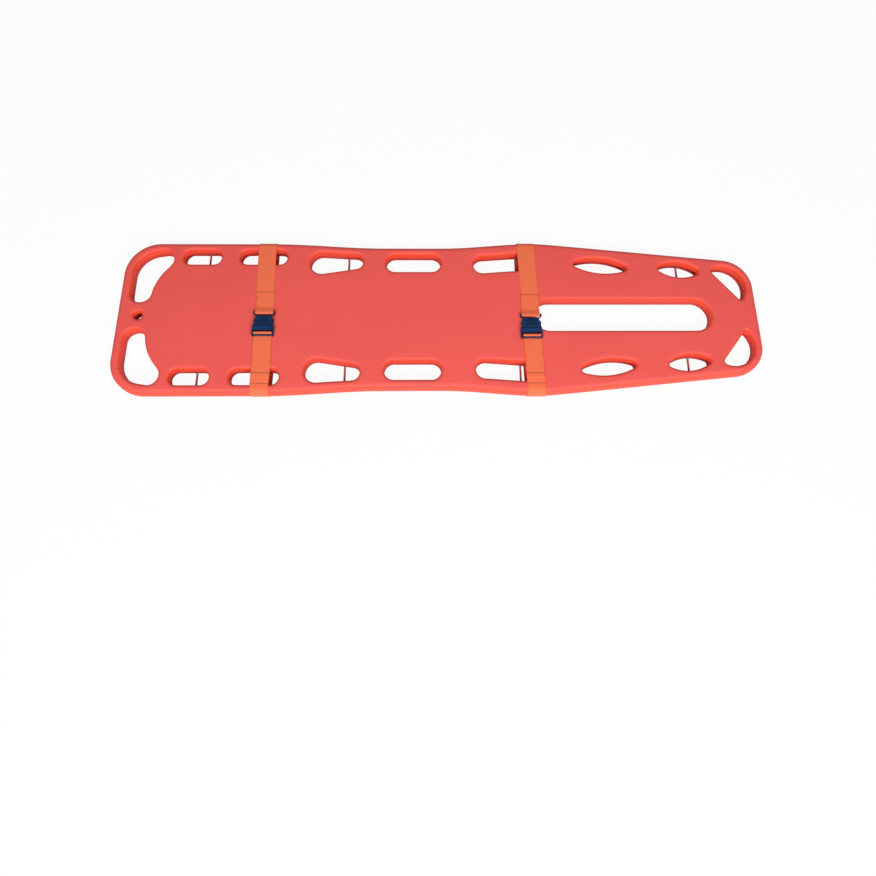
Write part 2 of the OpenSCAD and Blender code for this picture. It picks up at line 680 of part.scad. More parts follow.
module buckle_arm(i, s) {
    color(buckle_navy) at_buckle(i) mirror([s < 0 ? 1 : 0, 0, 0]) {
        translate([0, 0, (buckle_h - arm_h) / 2]) linear_extrude(arm_h) {
            arm_bulge(arm_in);
            translate([arm_in, root[1]]) square([arm_w, -root[1] - hook_u + 1]);
            translate(root) circle(arm_w / 2);
        }
        translate([0, 0, (buckle_h - button_h) / 2]) linear_extrude(button_h) arm_bulge(arm_out);
    }
}

// The plug: a base with a tongue and two arm seats, and behind it two side rails with the bars
// that grip the webbing
base_from = socket_l + fit;
base_to = socket_l + base_l;
base_lip = 3.5;                                 // the base reaches its full width this far from the mouth
rail_h = 9.2;
rail_z = 0.4;
plug_rail = [
    [half_bars - rail_w, -base_to + 1], [half_bars, -base_to + 1], [half_bars, -buckle_l + corner],
    [half_bars - corner, -buckle_l], [half_bars - rail_w, -buckle_l]
];
module buckle_plug(i) {
    color(buckle_navy) at_buckle(i) {
        difference() {
            moulded(sided([
                [half_mouth, -base_from], [half_bars, -base_from - base_lip], [half_bars, -base_to]
            ]), buckle_h);
            for (s = [1, -1]) arm_seat(s);
            base_slope();
        }
        translate([-tongue_w / 2, -base_from - 1, (buckle_h - arm_h) / 2 + fit])
            cube([tongue_w, base_from - window_in - 1, arm_h - 2 * fit]);
        for (s = [1, -1]) translate([0, 0, rail_z]) linear_extrude(rail_h) polygon(on_side(plug_rail, s));
        translate([0, -ladder_in, web_t / 2 + ladder_wrap]) rotate([0, 90, 0])
            cylinder(d = ladder_bar_d, h = buckle_w - rail_w, center = true);
        translate([0, -end_bar_in, end_bar_z - board_t - web_gap]) rotate([0, 90, 0])
            cylinder(d = end_bar_d, h = buckle_w - rail_w, center = true);
    }
}

// What is cut off above the slope that falls to the base's near end
module base_slope() {
    low = buckle_h - base_end_h;
    run = base_l - base_lip;
    translate([half_bars, -base_from - base_lip, 0]) rotate([90, 0, -90]) linear_extrude(buckle_w) polygon([
        [0, buckle_h], [run + past, buckle_h - low * (run + past) / run],
        [run + past, buckle_h + past], [0, buckle_h + past]]);
}

// Room for an arm's knuckle and for its neck as it swings inwards
module arm_seat(s) {
    reach = -root[1] - socket_l + past;
    room = reach * sin(arm_swing) + fit;
    translate([0, 0, (buckle_h - arm_h) / 2 - fit]) linear_extrude(arm_h + 2 * fit) {
        translate([s * root[0], root[1]]) circle(arm_w / 2 + fit);
        translate([s > 0 ? arm_in - room : -arm_out - fit, root[1]]) square([arm_w + room + fit, reach]);
    }
}

board_shell();
foam_core();
filler_plugs();
clip_pin(0, 1);  // shoulder_pin_far
clip_pin(0, -1);  // shoulder_pin_near
clip_pin(1, 1);  // elbow_pin_far
clip_pin(1, -1);  // elbow_pin_near
clip_pin(2, 1);  // hip_pin_far
clip_pin(2, -1);  // hip_pin_near
clip_pin(3, 1);  // shin_pin_far
clip_pin(3, -1);  // shin_pin_near
strap_wrap(0);  // chest_strap_wrap
adjuster_run(0);  // chest_strap_adjuster_run
buckle_socket(0);  // chest_buckle_socket
buckle_plug(0);  // chest_buckle_plug
strap_wrap(1);  // thigh_strap_wrap
adjuster_run(1);  // thigh_strap_adjuster_run
buckle_socket(1);  // thigh_buckle_socket
buckle_plug(1);  // thigh_buckle_plug
buckle_arm(0, -1);  // chest_buckle_arm_head_side
buckle_arm(0, 1);  // chest_buckle_arm_foot_side
buckle_arm(1, -1);  // thigh_buckle_arm_head_side
buckle_arm(1, 1);  // thigh_buckle_arm_foot_side
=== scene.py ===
"""The looks of a spine board: a moulded board with grip slots, clip pins, filler plugs and two
buckled straps.

Shapes are worked out in millimetres, in the board's own frame: +X to the foot end, +Y to the far
side, +Z up out of the deck, and the origin in the middle of the underside. They are put into meshes
in metres.
"""

import bmesh
import bpy
import numpy as np
from mathutils import Matrix, Vector
from mathutils.geometry import delaunay_2d_cdt


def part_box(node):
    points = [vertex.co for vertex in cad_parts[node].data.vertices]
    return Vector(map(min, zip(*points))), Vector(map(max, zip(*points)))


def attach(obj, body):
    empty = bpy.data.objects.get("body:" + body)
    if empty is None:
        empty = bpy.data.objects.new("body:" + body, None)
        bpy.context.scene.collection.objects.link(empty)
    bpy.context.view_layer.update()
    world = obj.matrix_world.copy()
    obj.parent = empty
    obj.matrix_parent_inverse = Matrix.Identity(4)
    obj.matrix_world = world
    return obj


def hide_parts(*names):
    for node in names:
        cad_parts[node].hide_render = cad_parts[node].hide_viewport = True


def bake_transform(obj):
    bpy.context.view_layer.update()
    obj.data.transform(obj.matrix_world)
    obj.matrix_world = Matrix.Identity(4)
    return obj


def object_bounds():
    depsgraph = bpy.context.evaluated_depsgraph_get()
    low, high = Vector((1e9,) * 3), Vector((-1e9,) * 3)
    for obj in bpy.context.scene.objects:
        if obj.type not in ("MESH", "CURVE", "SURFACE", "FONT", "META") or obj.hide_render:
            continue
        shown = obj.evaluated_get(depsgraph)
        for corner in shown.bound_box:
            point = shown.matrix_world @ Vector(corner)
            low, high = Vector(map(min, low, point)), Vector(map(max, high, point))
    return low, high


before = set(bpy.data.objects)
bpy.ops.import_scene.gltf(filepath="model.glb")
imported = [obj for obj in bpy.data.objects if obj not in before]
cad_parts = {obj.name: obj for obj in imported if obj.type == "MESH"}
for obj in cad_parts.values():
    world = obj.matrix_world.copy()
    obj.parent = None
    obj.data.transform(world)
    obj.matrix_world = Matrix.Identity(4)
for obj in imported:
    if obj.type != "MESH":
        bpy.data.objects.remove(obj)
CAD_BOX = [[float(v) for v in corner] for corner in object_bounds()]

MM = 0.001

# Points nearer to each other than this are one point
SAME = 0.01

# Sizes of the board that the frame holds
SHELL_LOW, SHELL_HIGH = (np.array(corner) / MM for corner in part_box("board_shell"))
HEAD_X, FOOT_X = SHELL_LOW[0], SHELL_HIGH[0]
BOARD_T = SHELL_HIGH[2] - SHELL_LOW[2]

# Board outline
SHOULDER_HALF = 228.5
WAIST_HALF = 215.0
HIP_HALF = 230.0
FOOT_TAPER = 0.0995
HIP_EASE = 30.0
SHOULDER_END = HEAD_X + 430
WAIST_START = HEAD_X + 750
WAIST_END = HEAD_X + 920
HIP_X = HEAD_X + 1210
HEAD_CORNER_R = 98.0
FOOT_CORNER_R = 87.0

# Rounded edges, and the fine parting line that stands out of every wall halfway up
EDGE_R = 14.0
LIP_R = 10.0
PARTING_H = 0.35
PARTING_HALF_W = 0.7

# Marks tell the plastic's colour and gloss where it is, and where painted shade darkens the
# openings' walls: 0 on the flat faces, 1 in the openings.
# The rise is how fast they grow down a rounded edge, from 0 at its flat face
EDGE_MARK = 0.8
EDGE_MARK_RISE = 2.0
OPENING_MARK = 1.0
LIP_MARK_RISE = 2.5
BORE_RIM_MARK = 0.3
CHANNEL_MARK = 0.6

# Slots, as (place, length). The place is a slot's head end, or its middle where it is a lens. The
# rails are what is left between the slots and the board's edge
GRIP_RAIL = 24.0
STRAP_RAIL = 34.0
ELBOW_RAIL = 25.0
SHIN_RAIL = 24.0
GRIP_R = 22.0
ELBOW_R = (33.5, 23.0)
WIDE_R = 27.0
LENS_H = 46.0
LENS_TIP_R = 10.0
SHOULDER_SLOT = (HEAD_X + 168, 109)
CHEST_SLOT = (HEAD_X + 333, 136)
ELBOW_SLOT = (HEAD_X + 538, 154)
WAIST_SLOT = (HEAD_X + 760, 160)
HIP_SLOT = (HEAD_X + 1017, 161)
THIGH_SLOT = (FOOT_X - 448, 155)
SHIN_SLOT = (FOOT_X - 216.5, 118)
LEG_SLOT = (FOOT_X - 653, 516)
LEG_R = 47.0

# Bore near the head end, as (place, radius)
BORE = (HEAD_X + 59, 13.0)
BORE_CHAMFER = 3.0

# Opening in each head corner: its circles, as (place from the corner's centre, radius)
KIDNEY_RAIL = 27.5
KIDNEY_LOW = ((-40.5, -59.0), 30.0)
KIDNEY_TOP = ((11.5, 44.5), 29.0)
KIDNEY_BULGE = ((137.5, -84.0), 150.0)

# Opening in each foot corner: its inner side's place from the corner's centre, the direction of
# its middle in degrees, and the radii of its two tips
MOON_RAIL = 24.0
MOON_INNER = -6.5
MOON_TURN = 39.3
MOON_TIPS = (7.0, 10.0)

# Channel in the underside: its side slopes in from a wider mouth to a narrower floor
CHANNEL_DEPTH = 16.0
CHANNEL_MOUTH_OUT = 6.0
CHANNEL_FLOOR_IN = 9.0
CHANNEL_W = 66.0
CHANNEL_PITCH = 134.0
CHANNEL_TURN_W = 47.0
CHANNEL_FOOT = FOOT_X - 732
CHANNEL_HEAD = HEAD_X + 132 + CHANNEL_MOUTH_OUT / 2

# Longest sides of the rings, and spacing of the points inside flat faces
RING_STEP = 14.0
FACE_PITCH = 11.0
FLOOR_PITCH = 9.0

# Webbing, and the heights of its layers on the deck
WEB_W = 52.0
WEB_T = 1.3
WEB_GAP = 0.3
LAYER_GAP = 0.2
WEB_OFF = WEB_GAP + WEB_T / 2
WEB_Z = BOARD_T + WEB_OFF
SECOND_Z = WEB_Z + WEB_T + LAYER_GAP
THIRD_Z = SECOND_Z + WEB_T + LAYER_GAP
WEB_STEP = 5.0
WEAVE_MAP = "weave"

# Lap at the socket, and the ends at the near edge: where the wrap passes into the adjuster run and
# where the free end lies, inwards from that edge
LAP_L = 46.0
LAP_FALL = 20.0
JOIN_IN = 28.0
TAIL_IN = 41.0
HEM_L = 15.0
END_L = 3.0
END_PRESS = 0.4

# Bars of the buckle, as (distance from its far end, radius), and the bend behind the ladder bar
SOCKET_BAR = (4.0, 2.5)
LADDER_BAR = (64.6, 2.7)
TAIL_BEND = 1.65

# Sewing: half sizes of a stitch, spacing of the stitches, and places of the rows
STITCH = (1.35, 0.42, 0.34)
STITCH_PITCH = 3.4
BOX_END_IN = 3.0
BOX_SIDE_IN = 5.0
HEM_ROWS = (5.0, HEM_L - 3.0)
HEM_ROW_HALF = 22.0

# Rounding of the buckle's edges: an edge sharper than this angle is rounded
SHARP = np.radians(32)
FLAT = np.radians(0.6)
BUCKLE_ROUND = 0.45
ARM_ROUND = 0.35

# Sideways drift of each strap, as (place across the board, drift): they aren't pulled quite square
STRAP_DRIFT = {
    "chest": ((-229, 0), (-150, 1.5), (-80, -0.3), (-60, -0.3), (45, -0.5), (80, -3.5),
              (130, -6), (229, -7.5)),
    "thigh": ((-231, 8), (-150, 5), (-80, 3), (-45, 0.5), (0, 0), (55, 0.3), (125, -1.5),
              (231, -4.5)),
}


def smooth(t):
    """An S-curve from 0 to 1: t squared times three minus twice t, with t kept between 0 and 1."""
    c = np.clip(t, 0, 1)
    return c * c * (3 - 2 * c)


def half_width(x):
    """Half the board's width at x: an S-curve from shoulders to waist, another from waist to hips,
    then a taper."""
    x = np.asarray(x, float)
    u = x - HIP_X
    past_hip = (u + np.sqrt(u * u + HIP_EASE**2)) / 2
    hips = HIP_HALF + FOOT_TAPER * (HIP_EASE / 2 - past_hip)
    to_waist = smooth((x - SHOULDER_END) / (WAIST_START - SHOULDER_END))
    to_hips = smooth((x - WAIST_END) / (HIP_X - WAIST_END))
    upper = SHOULDER_HALF + (WAIST_HALF - SHOULDER_HALF) * to_waist
    lower = WAIST_HALF + (hips - WAIST_HALF) * to_hips
    return np.where(x < WAIST_START, upper, lower)


def arc(centre, r, start, end, step=5.0):
    """Points of an arc between two angles in degrees, no more than a step apart, ends included."""
    n = max(int(np.ceil(abs(end - start) / step)), 1)
    a = np.radians(np.linspace(start, end, n + 1))
    return np.stack([centre[0] + r * np.cos(a), centre[1] + r * np.sin(a)], 1)


def ring(*stretches):
    """A closed ring of points from stretches laid end to end, with repeated points left out."""
    points = np.concatenate(stretches)
    return points[np.linalg.norm(points - np.roll(points, 1, 0), axis=1) > SAME]


def grown(points, d):
    """An anticlockwise ring moved outwards by d, each point along the mitre of its two sides."""
    side = np.roll(points, -1, 0) - points
    after = np.stack([side[:, 1], -side[:, 0]], 1) / np.linalg.norm(side, axis=1)[:, None]
    before = np.roll(after, 1, 0)
    return points + d * (before + after) / (1 + np.sum(before * after, axis=1))[:, None]


def evened(points):
    """A closed ring with its long sides cut into pieces no longer than RING_STEP."""
    out = []
    for p, q in zip(points, np.roll(points, -1, 0)):
        n = max(int(np.ceil(np.linalg.norm(q - p) / RING_STEP)), 1)
        out.append(p + (q - p) * np.linspace(0, 1, n, endpoint=False)[:, None])
    return np.concatenate(out)


TAPER = np.degrees(np.arctan(FOOT_TAPER))
HEAD_CENTRE = np.array([HEAD_X + HEAD_CORNER_R, SHOULDER_HALF - HEAD_CORNER_R])
FOOT_TANGENT = FOOT_X - FOOT_CORNER_R * (1 - np.sin(np.radians(TAPER)))
FOOT_CENTRE = np.array([FOOT_X - FOOT_CORNER_R,
                        half_width(FOOT_TANGENT) - FOOT_CORNER_R * np.cos(np.radians(TAPER))])


def board_outline(side_points=150):
    """The board seen from above: head corner, side and foot corner of the far side, and the same
    mirrored."""
    xs = np.linspace(HEAD_CENTRE[0], FOOT_TANGENT, side_points)[1:-1]
    far = np.concatenate([
        arc(HEAD_CENTRE, HEAD_CORNER_R, 180, 90, 4),
        np.stack([xs, half_width(xs)], 1),
        arc(FOOT_CENTRE, FOOT_CORNER_R, 90 - TAPER, 0, 4),
    ])
    return ring(far * [1, -1], far[::-1])


def slot_ring(c1, r1, c2, r2):
    """Outline round two circles, joined by the straight lines that touch both."""
    d = np.subtract(c2, c1)
    tilt = np.degrees(np.arctan2(d[1], d[0]))
    a = np.degrees(np.arccos((r1 - r2) / np.linalg.norm(d)))
    return ring(arc(c2, r2, tilt - a, tilt + a), arc(c1, r1, tilt + a, tilt + 360 - a))


def end_centre(x, r, rail):
    """Centre of a slot's end circle, a rail's width inside the board's edge."""
    return np.array([x, float(half_width(x)) - rail - r])


def grip_ring(slot, head_r, foot_r, rail):
    """A grip slot with a round end of its own radius at the head and at the foot."""
    start, length = slot
    head = end_centre(start + head_r, head_r, rail)
    foot = end_centre(start + length - foot_r, foot_r, rail)
    return slot_ring(head, head_r, foot, foot_r)


def lens_ring(slot, rail):
    """A lens: two long arcs that meet in small round tips, turned to run along the tapering edge.
    Its place is its middle."""
    middle, length = slot
    a = length / 2 - LENS_TIP_R
    r = (a * a + LENS_H**2 / 4 - LENS_TIP_R**2) / (LENS_H - 2 * LENS_TIP_R)
    s = np.degrees(np.arcsin(a / (r - LENS_TIP_R)))
    tip = arc((a, 0), LENS_TIP_R, s - 90, 90 - s, 9)
    side = arc((0, LENS_H / 2 - r), r, 90 - s, 90 + s, 3)
    half = np.concatenate([tip, side])
    tilt = np.radians(-TAPER)
    turn = np.array([[np.cos(tilt), np.sin(tilt)], [-np.sin(tilt), np.cos(tilt)]])
    return ring(half @ turn, -half @ turn) + end_centre(middle, LENS_H / 2, rail)


def kidney_ring():
    """The head corner's opening: two round lobes, an outer side round the corner and a side that
    bulges inwards. Each arc ends, in degrees, where the next one meets it."""
    (low, low_r), (top, top_r), (bulge, bulge_r) = (
        (HEAD_CENTRE + place, r) for place, r in (KIDNEY_LOW, KIDNEY_TOP, KIDNEY_BULGE)
    )
    return ring(
        arc(low, low_r, -90, -9, 8),
        arc(bulge, bulge_r, 171, 135, 3),
        arc(top, top_r, -45, 88, 8),
        arc(HEAD_CENTRE, HEAD_CORNER_R - KIDNEY_RAIL, 96, 180, 5),
        arc(low, low_r, 180, 262, 8),
    )


def moon_ring():
    """The foot corner's opening: an arc round the corner and a straight inner side, with round
    tips."""
    r, tips = FOOT_CORNER_R - MOON_RAIL, np.array(MOON_TIPS)
    spread = np.degrees(np.arccos((tips - MOON_INNER) / (r - tips)))
    first, last = MOON_TURN - spread[0], MOON_TURN + spread[1]
    ends = np.radians([first, last])
    centres = FOOT_CENTRE + ((r - tips) * np.array([np.cos(ends), np.sin(ends)])).T
    back = MOON_TURN + 180
    return ring(
        arc(FOOT_CENTRE, r, first, last, 5),
        arc(centres[1], tips[1], last, back, 9),
        arc(centres[0], tips[0], back, first + 360, 9),
    )


def openings():
    """Every opening that goes through the board and has a rounded lip."""
    far = [
        kidney_ring(),
        grip_ring(SHOULDER_SLOT, GRIP_R, GRIP_R, GRIP_RAIL),
        grip_ring(CHEST_SLOT, GRIP_R, GRIP_R, GRIP_RAIL),
        grip_ring(ELBOW_SLOT, *ELBOW_R, ELBOW_RAIL),
        grip_ring(WAIST_SLOT, WIDE_R, WIDE_R, GRIP_RAIL),
        grip_ring(HIP_SLOT, WIDE_R, WIDE_R, STRAP_RAIL),
        lens_ring(THIGH_SLOT, STRAP_RAIL),
        lens_ring(SHIN_SLOT, SHIN_RAIL),
        moon_ring(),
    ]
    near = [r[::-1] * [1, -1] for r in far]
    start, length = LEG_SLOT
    leg = slot_ring((start + LEG_R, 0), LEG_R, (start + length - LEG_R, 0), LEG_R)
    return far + near + [leg]


def channel_ring():
    """The channel partway down its side: two legs with round ends, joined by a half turn at the
    head end."""
    leg_r, leg_y = CHANNEL_W / 2, CHANNEL_PITCH / 2
    outer, inner = leg_y + leg_r, leg_y - leg_r
    end_x = CHANNEL_FOOT - leg_r
    return ring(
        arc((end_x, leg_y), leg_r, -90, 90),
        arc((CHANNEL_HEAD + outer, 0), outer, 90, 270, 4),
        arc((end_x, -leg_y), leg_r, -90, 90),
        arc((CHANNEL_HEAD + CHANNEL_TURN_W + inner, 0), inner, 270, 90, 6),
    )


def quarter(r, steps):
    """A rounded edge of radius r as (outset, depth) pairs, from the flat face to the wall."""
    a = np.radians(np.linspace(90, 0, steps + 1))
    return np.stack([r * (1 - np.cos(a)), r * (1 - np.sin(a))], 1)


def wall_levels(rounding, out):
    """A wall from deck to underside, as (outset, z) pairs: rounded edge, parting line, rounded
    edge. The outset of the rounding is times out: -1 round the board, 1 in an opening."""
    half, middle = PARTING_HALF_W, BOARD_T / 2
    parting = [(0, half), (1, half / 3), (1, -half / 3), (0, -half)]
    deck = [(out * d, BOARD_T - z) for d, z in rounding]
    line = [(-out * f * PARTING_H, middle + z) for f, z in parting]
    return deck + line + [(out * d, z) for d, z in rounding[::-1]]


def wall_marks(rounding, most, rise):
    """The marks down such a wall, one for each level, up to the most."""
    r = rounding[-1][1]
    marks = [min(most, rise * z / r) for _, z in rounding]
    return marks + [most] * 4 + marks[::-1]


def quads_between(rings, n):
    """Quads between rings of n points each, for points laid out ring after ring."""
    k, i = np.meshgrid(np.arange(rings - 1), np.arange(n), indexing="ij")
    a, b = k * n + i, k * n + (i + 1) % n
    return np.stack([a, b, b + n, a + n], -1).reshape(-1, 4)


def within(points, loop):
    """Which points lie inside a closed ring: a ray along +X crosses its sides an odd number of
    times."""
    x, y = points[:, 0:1], points[:, 1:2]
    px, py = loop.T
    qx, qy = np.roll(loop, -1, 0).T
    crosses = (py > y) != (qy > y)
    rise = np.where(crosses, qy - py, 1)
    return (crosses & (x < px + (y - py) * (qx - px) / rise)).sum(1) % 2 == 1


def distance_to_loop(points, loop):
    """Distance from each point to the nearest side of a closed ring."""
    p = loop[None]
    side = np.roll(loop, -1, 0)[None] - p
    to = points[:, None] - p
    t = np.clip((to * side).sum(-1) / np.maximum((side * side).sum(-1), 1e-9), 0, 1)
    return np.linalg.norm(to - t[..., None] * side, axis=-1).min(1)


def mesh_of(name, points, faces):
    """A mesh in metres, from points in millimetres."""
    data = bpy.data.meshes.new(name)
    data.from_pydata((points * MM).tolist(), [], faces)
    return data


def keep_marks(data, name, marks):
    """Keep a mark for each point of a mesh, in an attribute that its material reads."""
    attribute = data.attributes.new(name, "FLOAT", "POINT")
    attribute.data.foreach_set("value", np.asarray(marks, np.float32))


def linked(name, data):
    """A new object at the origin that shows a mesh, a lamp or a camera."""
    piece = bpy.data.objects.new(name, data)
    bpy.context.scene.collection.objects.link(piece)
    return piece


class Shell:
    """Gathers the faces of one mesh, from walls between levels and from flat faces between rings.
    Every point has a mark."""

    def __init__(self):
        self.points, self.faces, self.marks, self.count = [], [], [], 0

    def add(self, points, faces, marks):
        self.points.append(points)
        self.faces.append(np.asarray(faces) + self.count)
        self.marks.append(np.broadcast_to(marks, len(points)))
        self.count += len(points)

    def loft(self, base, levels, inwards, marks):
        """A wall through a ring at several (outset, z) levels, with a mark for each level. If it
        is inwards, its faces look to the ring's middle."""
        rings = [np.column_stack([grown(base, d), np.full(len(base), z)]) for d, z in levels]
        quads = quads_between(len(levels), len(base))
        if (levels[-1][1] > levels[0][1]) == inwards:
            quads = quads[:, ::-1]
        triangles = np.concatenate([quads[:, [0, 1, 2]], quads[:, [0, 2, 3]]])
        self.add(np.concatenate(rings), triangles, np.repeat(marks, len(base)))

    def flat(self, outer, holes, z, upwards, pitch):
        """A flat face between an outer ring and its holes, with points every pitch inside it that
        keep clear of the rings."""
        loops, clear = [outer, *holes], 0.45 * pitch
        low, high = outer.min(0), outer.max(0)
        xs, ys = (np.arange(low[i] + pitch / 2, high[i], pitch) for i in (0, 1))
        inside = np.stack(np.meshgrid(xs, ys), -1).reshape(-1, 2)
        near = np.zeros(len(inside), bool)
        odd = np.zeros(len(inside), bool)
        edges, start = [], 0
        for loop in loops:
            near |= distance_to_loop(inside, loop) < clear
            odd ^= within(inside, loop)
            i = np.arange(len(loop))
            edges += np.column_stack([start + i, start + (i + 1) % len(loop)]).tolist()
            start += len(loop)
        points = np.concatenate([*loops, inside[odd & ~near]])
        found, _, faces, *_ = delaunay_2d_cdt([Vector(p) for p in points], edges, [], 0, 1e-6)
        found, faces = np.array(found), np.array(faces)
        middles = found[faces].mean(1)
        keep = np.zeros(len(faces), bool)
        for loop in loops:
            keep ^= within(middles, loop)
        faces = faces[keep]
        a, b, c = (found[faces[:, i]] for i in range(3))
        (bx, by), (cx, cy) = (b - a).T, (c - a).T
        wrong = (bx * cy - by * cx < 0) == upwards
        faces[wrong] = faces[wrong][:, ::-1]
        self.add(np.column_stack([found, np.full(len(found), z)]), faces, 0.0)

    def mesh(self, name):
        """The gathered faces as an object, with shared points merged and the marks in the attribute
        lip."""
        data = mesh_of(name, np.concatenate(self.points), np.concatenate(self.faces).tolist())
        keep_marks(data, "lip", np.concatenate(self.marks))
        work = bmesh.new()
        work.from_mesh(data)
        bmesh.ops.remove_doubles(work, verts=work.verts, dist=SAME * MM)
        work.to_mesh(data)
        work.free()
        data.shade_smooth()
        return linked(name, data)


def board():
    """The moulded board: flat deck and underside, rounded edges, slots with rounded lips, the bore
    and the channel."""
    shell = Shell()
    outline, holes = board_outline(), [evened(r) for r in openings()]

    edge, lip = quarter(EDGE_R, 8), quarter(LIP_R, 7)
    edge_marks = wall_marks(edge, EDGE_MARK, EDGE_MARK_RISE)
    lip_marks = wall_marks(lip, OPENING_MARK, LIP_MARK_RISE)
    shell.loft(outline, wall_levels(edge, -1), False, edge_marks)
    for hole in holes:
        shell.loft(hole, wall_levels(lip, 1), True, lip_marks)

    bore = arc((BORE[0], 0), BORE[1], 0, 352, 8)
    bore_levels = [(BORE_CHAMFER, BOARD_T), (0, BOARD_T - BORE_CHAMFER),
                   (0, BORE_CHAMFER), (BORE_CHAMFER, 0)]
    bore_marks = [BORE_RIM_MARK, OPENING_MARK, OPENING_MARK, BORE_RIM_MARK]
    shell.loft(bore, bore_levels, True, bore_marks)

    rim = grown(outline, -EDGE_R)
    mouths = [grown(hole, LIP_R) for hole in holes] + [grown(bore, BORE_CHAMFER)]
    shell.flat(rim, mouths, BOARD_T, True, FACE_PITCH)

    channel = evened(channel_ring())
    fall = np.linspace(0, 1, 13)
    outset = CHANNEL_MOUTH_OUT - (CHANNEL_MOUTH_OUT + CHANNEL_FLOOR_IN) * fall
    levels = np.column_stack([outset, CHANNEL_DEPTH * smooth(fall)])
    shell.loft(channel, levels, True, CHANNEL_MARK * np.sin(np.pi * fall))
    mouths.append(grown(channel, CHANNEL_MOUTH_OUT))
    shell.flat(rim, mouths, 0, False, FACE_PITCH)
    shell.flat(grown(channel, -CHANNEL_FLOOR_IN), [], CHANNEL_DEPTH, False, FLOOR_PITCH)
    return shell.mesh("moulded_board")


class Strap:
    """One strap's sizes, read from its solids in the frame, and the paths of its webbing as (y, z)
    points."""

    def __init__(self, name):
        low, high = (np.array(corner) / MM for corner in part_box(f"{name}_strap_wrap"))
        self.x = (low[0] + high[0]) / 2
        self.edge = high[1] - WEB_GAP - WEB_T
        self.buckle_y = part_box(f"{name}_buckle_socket")[1][1] / MM
        self.drift = np.array(STRAP_DRIFT[name], float)

    def middle_x(self, y):
        """The webbing's middle at a place across the board: the strap's place plus its drift, eased
        by S-curves."""
        ys, xs = self.drift.T
        k = np.clip(np.searchsorted(ys, y) - 1, 0, len(ys) - 2)
        return self.x + xs[k] + (xs[k + 1] - xs[k]) * smooth((y - ys[k]) / (ys[k + 1] - ys[k]))

    def lap_path(self):
        """The wrap: lap on top, turn round the socket's bar, over the far edge, under the board, up
        the near edge."""
        bar_in, bar_r = SOCKET_BAR
        bar_y, turn_r = self.buckle_y - bar_in, bar_r + WEB_OFF
        lap_end = bar_y + LAP_FALL + LAP_L
        t = np.linspace(1, 0, 15)
        rise = WEB_Z + 2 * turn_r - SECOND_Z
        fall = np.column_stack([bar_y + LAP_FALL * t, SECOND_Z + rise * smooth(1 - t)])
        side, low, high, bend = self.edge - EDGE_R, EDGE_R, BOARD_T - EDGE_R, EDGE_R + WEB_OFF
        return joined(
            [(lap_end - at, SECOND_Z) for at in (0, END_L / 2, END_L)],
            fall,
            arc((bar_y, WEB_Z + turn_r), turn_r, 90, 270, 12),
            arc((side, high), bend, 90, 0, 10),
            arc((side, low), bend, 0, -90, 10),
            arc((-side, low), bend, -90, -180, 10),
            arc((-side, high), bend, 180, 90, 10),
            [(-self.edge + JOIN_IN, WEB_Z)],
        )

    def run_path(self):
        """The adjuster run: from the near edge round the ladder bar, and back on itself to a folded
        hem."""
        bar_in, bar_r = LADDER_BAR
        bar_y, turn_r = self.buckle_y - bar_in, bar_r + WEB_OFF
        bend_y, fold_r = bar_y - turn_r - TAIL_BEND, (THIRD_Z - SECOND_Z) / 2
        end = -self.edge + TAIL_IN
        return joined(
            [(-self.edge + JOIN_IN, WEB_Z)],
            arc((bar_y, WEB_Z + turn_r), turn_r, -90, 180, 12),
            arc((bend_y, SECOND_Z + TAIL_BEND), TAIL_BEND, 0, -90, 15),
            arc((end + fold_r, SECOND_Z + fold_r), fold_r, 270, 90, 30),
            [(end + HEM_L - at, THIRD_Z) for at in (END_L, END_L / 2, 0)],
        )


def walked_along(path):
    """The way walked along a path to each of its points."""
    return np.concatenate([[0], np.cumsum(np.linalg.norm(np.diff(path, axis=0), axis=1))])


def joined(*stretches):
    """A path through its stretches, with long straight ones cut up and repeated points left out."""
    corners = np.concatenate(stretches).astype(float)
    steps = np.linalg.norm(np.diff(corners, axis=0), axis=1)
    corners = corners[np.concatenate([[True], steps > SAME])]
    walked = walked_along(corners)
    counts = np.maximum(np.ceil(np.diff(walked) / WEB_STEP).astype(int), 1)
    places = [a + (b - a) * np.arange(n) / n for a, b, n in zip(walked, walked[1:], counts)]
    places = np.concatenate([*places, walked[-1:]])
    return np.column_stack([np.interp(places, walked, corners[:, i]) for i in (0, 1)])


def web_section(count=30):
    """Webbing cut across, as (across, thickness) points: a flat band with round edges and a thicker
    selvedge. Half the thickness is T/2 times the fourth root of 1 - (2a/W)^36, times 0.94 in the
    middle and 1.04 near each edge."""
    share = np.sin(np.linspace(-np.pi / 2, np.pi / 2, count))
    edge = np.abs(share)
    swell = 0.94 + 0.1 * smooth((edge - 0.86) / 0.06)
    across, half = share * WEB_W / 2, WEB_T / 2 * (1 - edge**36) ** 0.25 * swell
    back = slice(-2, 0, -1)
    return np.column_stack([np.concatenate([across, across[back]]),
                            np.concatenate([half, -half[back]])])


